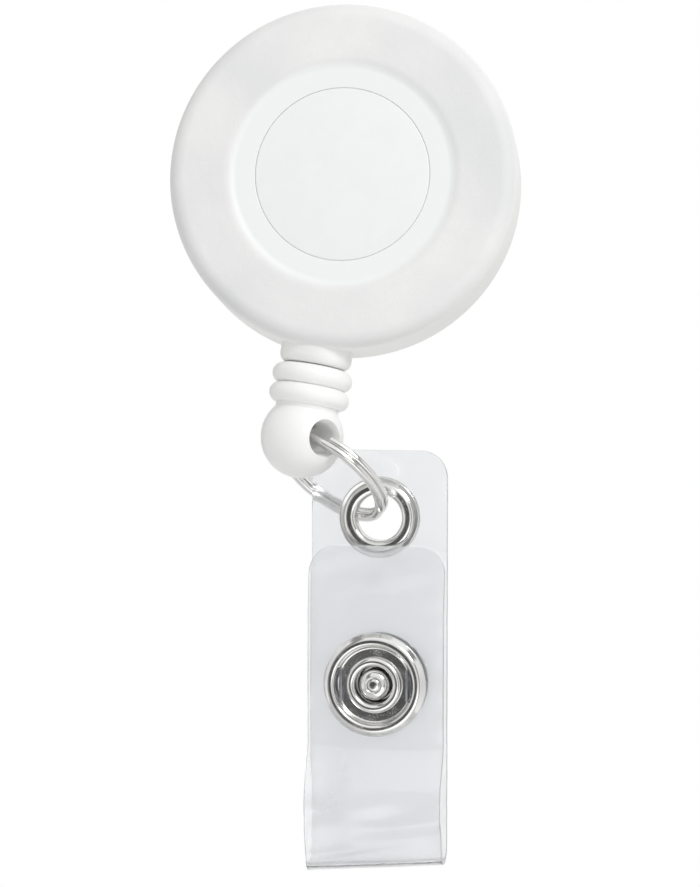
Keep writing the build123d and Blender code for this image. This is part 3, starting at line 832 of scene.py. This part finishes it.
def makeFlatStrip(name, width, length, thickness, corner, edgeRound, holes, rows, columns):
    # across is x, along is y from 0, and z is through the strip
    clearSelection()
    bpy.ops.mesh.primitive_plane_add(size=1, location=(0, 0, 0))
    strip = bpy.context.object
    strip.name = name
    startEdit()
    bpy.ops.transform.resize(value=(width * mm, length * mm, 1))
    bpy.ops.mesh.bevel(offset=corner * mm, segments=10, affect="VERTICES")
    bpy.ops.mesh.select_all(action="SELECT")
    bpy.ops.transform.translate(value=(0, length / 2 * mm, -thickness / 2 * mm))
    bpy.ops.mesh.extrude_region_move(TRANSFORM_OT_translate={"value": (0, 0, thickness * mm)})
    bpy.ops.mesh.select_all(action="SELECT")
    bpy.ops.mesh.normals_make_consistent(inside=False)
    endEdit()
    for along, radius in holes:
        clearSelection()
        bpy.ops.mesh.primitive_cylinder_add(
            vertices=64, radius=radius * mm, depth=thickness * 3 * mm, location=(0, along * mm, 0))
        cutWith(strip, bpy.context.object)
    soften = strip.modifiers.new("soften", "BEVEL")
    soften.width = edgeRound * mm
    soften.segments = 3
    soften.limit_method = "ANGLE"
    soften.angle_limit = math.radians(50)
    applyModifiers(strip)
    startEdit()
    for row in rows:
        bpy.ops.mesh.select_all(action="SELECT")
        bpy.ops.mesh.bisect(plane_co=(0, row * mm, 0), plane_no=(0, 1, 0))
    for column in columns:
        bpy.ops.mesh.select_all(action="SELECT")
        bpy.ops.mesh.bisect(plane_co=(column * mm, 0, 0), plane_no=(1, 0, 0))
    endEdit()
    return strip


def bendStrip(strip, points, lengths, place, ripple=None):
    # place turns (across, path x, path y) in millimetres into a point of the frame
    path = np.array([tuple(point) for point in points])
    directions = np.gradient(path, lengths, axis=0)
    for vertex in strip.data.vertices:
        across, along, through = vertex.co / mm
        here = [np.interp(along, lengths, path[:, part]) for part in (0, 1)]
        heading = Vector([np.interp(along, lengths, directions[:, part]) for part in (0, 1)]).normalized()
        lift = through + (ripple(across, along) if ripple else 0)
        vertex.co = place(across, here[0] - heading.y * lift, here[1] + heading.x * lift)


strap = {
    "width": 12.7,
    "thickness": 0.6,
    "top": 6.2,
    "fold": 32.1,
    "foldDepth": 2.6,
    "foldRadius": 1.25,
    "bulge": 4.2,
    "bulgeBelow": 25.7,
    "snapGap": 2.0,
    "snapFlat": 6.2,
    "frontTop": 2.6,
    "frontGap": 1.2,
    "corner": 2.5,
    "edgeRound": 0.2,
    "eyeletHole": 2.42,
    "postHole": 0.85,
    "snapHole": 2.02,
    "foldMiddle": 0.2,  # the fold's middle, past where the back leaf would end
    "rowStep": 0.5,
    "foldStep": 0.12,
    "fineBefore": 3,  # the rows are closer from here before the fold's middle
    "fineAfter": 3.5,  # to here after it
    "columnStep": 0.6,
    # pressed ring round the eyelet: depth, radius and half width
    "pressedRing": (0.07, 4.35, 0.28),
    # how near the eyelet, the post and the snap the vinyl stays flat, and over what length it lets go
    "flatRound": (4.6, 5, 5.2),
    "letGo": 3,
    # soft waves: height, then radians per millimetre along and across
    "waves": [(0.05, 0.75, 0.22), (0.03, 1.9, -0.5)],
    # creases each side of the fold: height, distance from it, half width and radians per millimetre
    "creases": (0.06, 5.5, 2.5, 3.1),
    # dents in the front leaf: aside, above the fold, half width, half height and depth
    "buckles": [
        (-3.8, 9.6, 1.8, 1.7, 0.3),
        (1.0, 5.2, 9.0, 0.6, -0.24),
        (3.5, 7.2, 3.0, 0.9, 0.24),
        (-1.0, 3.6, 8.0, 0.5, 0.16),
    ],
    "askew": 0.075,  # how far the fold runs askew, per millimetre across
    "askewReach": 7.0,
    "buckleSlant": 0.12,
}


def strapPlace(across, out, up):
    return eyeletCentre + (strapAcross * across + strapOut * out + strapUp * up) * mm


def askewPlace(across, out, up):
    # the fold was pressed a little askew
    askew = strap["askew"] * across * math.exp(-(((up + strap["fold"]) / strap["askewReach"]) ** 2))
    return strapPlace(across, out, up + askew)


def makeStrap():
    corners = [
        (0, strap["top"]),
        (0, -strap["fold"], strap["foldRadius"]),
        (strap["foldDepth"], -strap["fold"], strap["foldRadius"] * 0.95),
        (strap["bulge"], -strap["bulgeBelow"], 5.0),
        (strap["snapGap"], -snapBelow - strap["snapFlat"], 3.0),
        (strap["snapGap"], -snapBelow + strap["snapFlat"], 12.0),
        (strap["frontGap"], -strap["frontTop"]),
    ]
    points = roundCorners(corners, False, 24)
    lengths = measurePath(points)
    total = lengths[-1]
    eyeletAlong = lengthAt(points, lengths, 0, False)
    postAlong = lengthAt(points, lengths, -snapBelow, False)
    snapAlong = lengthAt(points, lengths, -snapBelow, True)
    foldAlong = strap["top"] + strap["fold"] + strap["foldMiddle"]
    holes = [
        (eyeletAlong, strap["eyeletHole"]),
        (postAlong, strap["postHole"]),
        (snapAlong, strap["snapHole"]),
    ]
    fineFrom = foldAlong - strap["fineBefore"]
    fineTo = foldAlong + strap["fineAfter"]
    rows = list(np.arange(strap["rowStep"], fineFrom, strap["rowStep"]))
    rows += list(np.arange(fineFrom, fineTo, strap["foldStep"]))
    rows += list(np.arange(fineTo, total, strap["rowStep"]))
    half = strap["width"] / 2
    columns = list(np.arange(-half + strap["columnStep"], half, strap["columnStep"]))
    piece = makeFlatStrip(
        "vinyl_strap", strap["width"], total, strap["thickness"], strap["corner"], strap["edgeRound"],
        holes, rows, columns)

    def ripple(across, along):
        # a pressed ring round the eyelet, soft waves between the fastenings and creases above the fold
        fromEyelet = math.hypot(across, along - eyeletAlong)
        fromPost = math.hypot(across, along - postAlong)
        fromSnap = math.hypot(across, along - snapAlong)
        depth, ringRadius, ringWide = strap["pressedRing"]
        lift = -depth * math.exp(-(((fromEyelet - ringRadius) / ringWide) ** 2))
        beyond = zip((fromEyelet, fromPost, fromSnap), strap["flatRound"])
        free = min(1, max(0, (min(distance - flat for distance, flat in beyond) / strap["letGo"])))
        free *= min(1, abs(along - foldAlong) / strap["letGo"])
        waves = 0.0
        for high, perAlong, perAcross in strap["waves"]:
            waves += high * math.sin(along * perAlong + across * perAcross)
        high, away, wide, perAlong = strap["creases"]
        creased = math.exp(-(((abs(along - foldAlong) - away) / wide) ** 2))
        creases = high * creased * math.sin(along * perAlong + 0.5 * math.sin(across * 0.6))
        buckle = 0.0
        for aside, past, wide, deep, height in strap["buckles"]:
            slanted = along - foldAlong - past - strap["buckleSlant"] * across
            buckle += height * math.exp(-(((across - aside) / wide) ** 2) - (slanted / deep) ** 2)
        return lift + free * (waves + creases + buckle)

    bendStrip(piece, points, lengths, askewPlace, ripple)
    tidyMesh(piece, 40)
    dress(piece, clearVinyl, "clear_vinyl", None, "strap_back", "strap_front")
    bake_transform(piece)
    print("strap length", round(total, 1))


makeStrap()
print("strap modelled")

# ---- eyelet, washer and snap: spun outlines of (radius, out from the back leaf's middle)
eyelet = {
    "eyelet_ring": (eyeletCentre, "strap", "eyelet", True, [
        (2.15, 0.74, 0.5), (3.25, 0.74, 0.42), (3.32, 0.42, 0.06), (3.75, 0.5, 0.1), (3.75, 0.3, 0.06),
        (2.37, 0.3, 0.03), (2.37, -0.65, 0.03),
        (2.95, -0.65, 0.08), (2.95, -0.87, 0.1), (2.15, -0.87, 0.3)]),
    "eyelet_back": (eyeletCentre, "strap", "eyelet_washer", True, [
        (2.42, -0.3, 0.05), (3.75, -0.3, 0.05), (3.75, -0.65, 0.15), (2.42, -0.65, 0.05)]),
}
snap = {
    "snap_post": (snapCentre, "strap", "snap_post_cap", False, [
        (0, 0.64), (0.8, 0.64, 0.05), (0.8, -0.3, 0.03), (4.6, -0.3, 0.06), (4.6, -0.55, 0.15),
        (4.0, -0.75, 0.8), (0, -0.75)]),
    "snap_boss": (snapCentre, "strap", "snap_stud", False, [
        (0, 3.14), (0.55, 3.1, 0.5), (0.62, 3.0, 0.04), (0.76, 3.15, 0.1), (1.1, 3.0, 0.3),
        (1.5, 2.6, 0.5), (1.5, 0.65, 0.15), (3.6, 0.65, 0.12), (3.6, 0.3, 0.05), (0.82, 0.3, 0.05),
        (0.82, 0.66, 0.03), (0, 0.66)]),
    "snap_rim": (snapCentre, "flap", "snap_socket", True, [
        (2.1, 2.3, 0.04), (4.8, 2.3, 0.12), (4.8, 2.75, 0.2), (4.35, 3.3, 0.5), (3.75, 3.3, 0.3),
        (3.5, 2.55, 0.25), (2.1, 2.55, 0.04)]),
    "snap_bead": (snapCentre, "flap", "snap_collar", True, [
        (1.75, 1.48, 0.1), (2.6, 1.48, 0.08), (2.6, 1.7, 0.05), (1.97, 1.7, 0.05), (1.97, 2.55, 0.05),
        (2.6, 2.55, 0.08), (2.6, 3.15, 0.4), (1.75, 3.15, 0.4)]),
}
for pieces in (eyelet, snap):
    for name, (centre, body, node, closed, corners) in pieces.items():
        made = spinOutline(name, roundCorners(corners, closed, 8), centre, strapOut, closed, 96)
        dress(made, nickel, "nickel", body, node)

wires = {"radius": 0.16, "length": 3.0, "aside": 3.075, "out": 2.8, "endRound": 0.06}


def makeWires():
    # the two ends of the snap's spring, one each side of the bead
    sides = []
    for side in (-1, 1):
        clearSelection()
        bpy.ops.mesh.primitive_cylinder_add(
            vertices=20, radius=wires["radius"] * mm, depth=wires["length"] * mm)
        wire = bpy.context.object
        startEdit()
        bpy.ops.mesh.bevel(offset=wires["endRound"] * mm, segments=3, affect="EDGES")
        endEdit()
        middle = snapCentre + (strapAcross * side * wires["aside"] + strapOut * wires["out"]) * mm
        turned = Matrix((strapAcross, -strapOut, strapUp)).transposed()
        wire.data.transform(Matrix.Translation(middle) @ turned.to_4x4())
        sides.append(wire)
    piece = joinPieces(sides, "snap_wires")
    tidyMesh(piece, 40)
    dress(piece, springSteel, "spring_steel", "flap", "snap_spring_wires")


makeWires()
print("eyelet and snap modelled")

# ---- belt clip and rivet
clip = {
    "width": 9.5,
    "thickness": 0.8,
    "middle": 1.9,
    "bottom": -10.5,
    "bendTop": 14.9,
    "bendRadius": 1.89,
    "straightTo": 4.0,
    "nip": (-0.3, -9.0),
    "tip": (1.3, -13.5),
    "corner": 2.0,
    "edgeRound": 0.12,
    "rivetHole": 1.0,
    "rowStep": 0.25,
    "bendRows": 4.5,  # how far the close rows reach each side of the top bend
    "kneeRows": 3.0,  # and each side of the two lower bends
    "blendFrom": -1.45,
    "blendTo": -0.75,
}


def clipPlace(across, back, up):
    return Vector((across, back, up)) * mm


def makeClip():
    corners = [
        (-clip["middle"], clip["bottom"]),
        (-clip["middle"], clip["bendTop"], clip["bendRadius"]),
        (clip["middle"], clip["bendTop"], clip["bendRadius"]),
        (clip["middle"], clip["straightTo"], 10.0),
        (*clip["nip"], 2.5),
        clip["tip"],
    ]
    points = roundCorners(corners, False, 24)
    lengths = measurePath(points)
    total = lengths[-1]
    bendMiddle = lengthAt(points, lengths, clip["bendTop"] - 0.05, False)
    nipAlong = lengthAt(points, lengths, clip["nip"][1], True)
    knee = lengthAt(points, lengths, clip["straightTo"], True)
    rows = []
    for middle, reach in ((bendMiddle, "bendRows"), (knee, "kneeRows"), (nipAlong, "kneeRows")):
        rows += list(np.arange(middle - clip[reach], middle + clip[reach], clip["rowStep"]))
    piece = makeFlatStrip(
        "belt_clip", clip["width"], total, clip["thickness"], clip["corner"], clip["edgeRound"],
        [(-clip["bottom"], clip["rivetHole"])], rows, [])
    bendStrip(piece, points, lengths, clipPlace)
    tidyMesh(piece, 40)
    dress(piece, clipSteel, "clip_steel", None, "belt_clip_plate", "belt_clip_tongue")
    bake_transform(piece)


makeClip()
rivetOutline = [
    (0, -0.9), (0.8, -0.9, 0.9), (1.9, -1.25, 0.2), (1.9, -1.5, 0.05), (1.0, -1.5, 0.05),
    (1.0, -6.5, 0.15), (0, -6.5)]
rivet = spinOutline("rivet", roundCorners(rivetOutline, False), origin, yAxis, False, 64)
dress(rivet, nickel, "nickel", "housing", "clip_rivet")
print("belt clip modelled")

# ---- finishes of the pieces that stay as the CAD has them
keptPieces = {
    "rear_cover": shellPlastic,
    "spool": spoolPlastic,
    "power_spring": springSteel,
    "cord_anchor_knot": cordNylon,
    "cord_run": cordNylon,
    "cord_knot": cordNylon,
}
for name, material in keptPieces.items():
    mesh = frame["nodes"][name].data
    mesh.materials.clear()
    mesh.materials.append(material)

# ---- floor, light and camera
studio = {
    "floorBelow": 0.85,
    "floorSize": 2.6,
    "above": 0.78,
    "level": 0.61,
    "below": 0.8,
    "horizon": 0.05,
    "lowest": -0.7,
    "highest": 0.8,
    "card": 0.12,
    "cardHeading": (-0.27, -0.93, -0.26),
    "cardEdge": (0.93, 0.985),
    "bandDark": 0.3,
    "bandFrom": (0.5, 0.58),  # how far aside the dark bands start and end
    "bandTo": (0.8, 0.7),
    "shineGain": 1.3,
    "keyPower": 1.5,
    "keySize": 0.22,
    "keyPlace": (0.30, -0.42, 0.34),
    "fillPower": 0.3,
    "fillSize": 0.4,
    "fillPlace": (0.1, -0.35, -0.35),
}


def makeWorld():
    # a white studio, greyest at the horizon; only reflections see the dark card by the camera and
    # the dark band on each side, which give the metal its contrast
    world = bpy.data.worlds.new("studioWorld")
    bpy.context.scene.world = world
    world.use_nodes = True
    tree = world.node_tree
    tree.nodes.clear()
    heading = addNode(tree, "ShaderNodeTexCoord").outputs["Generated"]
    parts = addNode(tree, "ShaderNodeSeparateXYZ", {0: heading}).outputs
    lower = mapRange(
        tree, parts[2], studio["lowest"], studio["horizon"], studio["below"], studio["level"])
    upper = mapRange(
        tree, parts[2], studio["horizon"], studio["highest"], 0.0, studio["above"] - studio["level"])
    sky = calculate(tree, "ADD", lower, upper)
    links = {0: heading, 1: Vector(studio["cardHeading"]).normalized()}
    towards = addNode(tree, "ShaderNodeVectorMath", links, operation="DOT_PRODUCT").outputs["Value"]
    card = mapRange(tree, towards, *studio["cardEdge"], studio["shineGain"], studio["card"])
    aside = calculate(tree, "ABSOLUTE", parts[0])
    bandStart = mapRange(tree, aside, *studio["bandFrom"])
    inBand = calculate(tree, "MULTIPLY", bandStart, mapRange(tree, aside, *studio["bandTo"]))
    band = mapRange(tree, inBand, 0.0, 1.0, 1.0, studio["bandDark"])
    path = addNode(tree, "ShaderNodeLightPath").outputs
    shine = calculate(tree, "SUBTRACT", calculate(tree, "MULTIPLY", card, band), 1.0)
    shine = calculate(tree, "MULTIPLY_ADD", shine, path["Is Glossy Ray"], 1.0)
    dimmed = calculate(tree, "MULTIPLY", sky, shine)
    seen = calculate(tree, "MAXIMUM", path["Is Camera Ray"], path["Is Transmission Ray"])
    plain = calculate(tree, "SUBTRACT", 1.0, seen)
    strength = calculate(tree, "ADD", seen, calculate(tree, "MULTIPLY", dimmed, plain))
    glow = addNode(tree, "ShaderNodeBackground", {"Color": (1, 1, 1, 1), "Strength": strength})
    output = addNode(tree, "ShaderNodeOutputWorld")
    tree.links.new(glow.outputs[0], output.inputs["Surface"])


def addSoftbox(name, place, size, power, target):
    data = bpy.data.lights.new(name, "AREA")
    data.shape = "SQUARE"
    data.size = size
    data.energy = power
    lamp = bpy.data.objects.new(name, data)
    bpy.context.scene.collection.objects.link(lamp)
    lamp.location = place
    lamp.rotation_euler = (Vector(target) - Vector(place)).to_track_quat("-Z", "Y").to_euler()


def makeFloor():
    clearSelection()
    bpy.ops.mesh.primitive_plane_add(
        size=studio["floorSize"], location=(0, 0, cadBox[0].z - studio["floorBelow"]))
    floor = bpy.context.object
    floor.name = "floor"
    bpy.ops.object.transform_apply(location=True)
    material, tree, sockets = newMaterial("floorPaper", Roughness=0.9)
    grain = useGroup(tree, fineGrain, GrainPerMetre=900.0, MottlePerMetre=8.0)
    paper = mixColour(tree, grain["Mottle"], (0.86, 0.86, 0.86, 1), (0.83, 0.83, 0.83, 1))
    tree.links.new(paper, sockets["Base Color"])
    floor.data.materials.append(material)


cameraView = {
    "azimuth": 6.4,
    "elevation": -5.14,
    "roll": 9.74,
    "distance": 0.3,
    "aim": (4.47, -6.3, -23.9),
    "seenHeight": 81.07,  # millimetres of the frame's height at the aim's distance
}


def makeCamera():
    azimuth = math.radians(cameraView["azimuth"])
    elevation = math.radians(cameraView["elevation"])
    back = Vector((
        math.sin(azimuth) * math.cos(elevation),
        -math.cos(azimuth) * math.cos(elevation),
        math.sin(elevation),
    ))
    right = zAxis.cross(back).normalized()
    up = back.cross(right)
    turn = Matrix.Rotation(math.radians(cameraView["roll"]), 3, back)
    right = turn @ right
    up = turn @ up
    data = bpy.data.cameras.new("camera")
    data.lens = data.sensor_width * cameraView["distance"] / (cameraView["seenHeight"] * mm)
    camera = bpy.data.objects.new("camera", data)
    bpy.context.scene.collection.objects.link(camera)
    place = Matrix((right, up, back)).transposed().to_4x4()
    place.translation = Vector(cameraView["aim"]) * mm + back * cameraView["distance"]
    camera.matrix_world = place
    bpy.context.scene.camera = camera


makeWorld()
makeFloor()
target = middleOf("front_cover")
addSoftbox("keyLight", studio["keyPlace"], studio["keySize"], studio["keyPower"], target)
addSoftbox("fillLight", studio["fillPlace"], studio["fillSize"], studio["fillPower"], target)
makeCamera()
print("studio made")
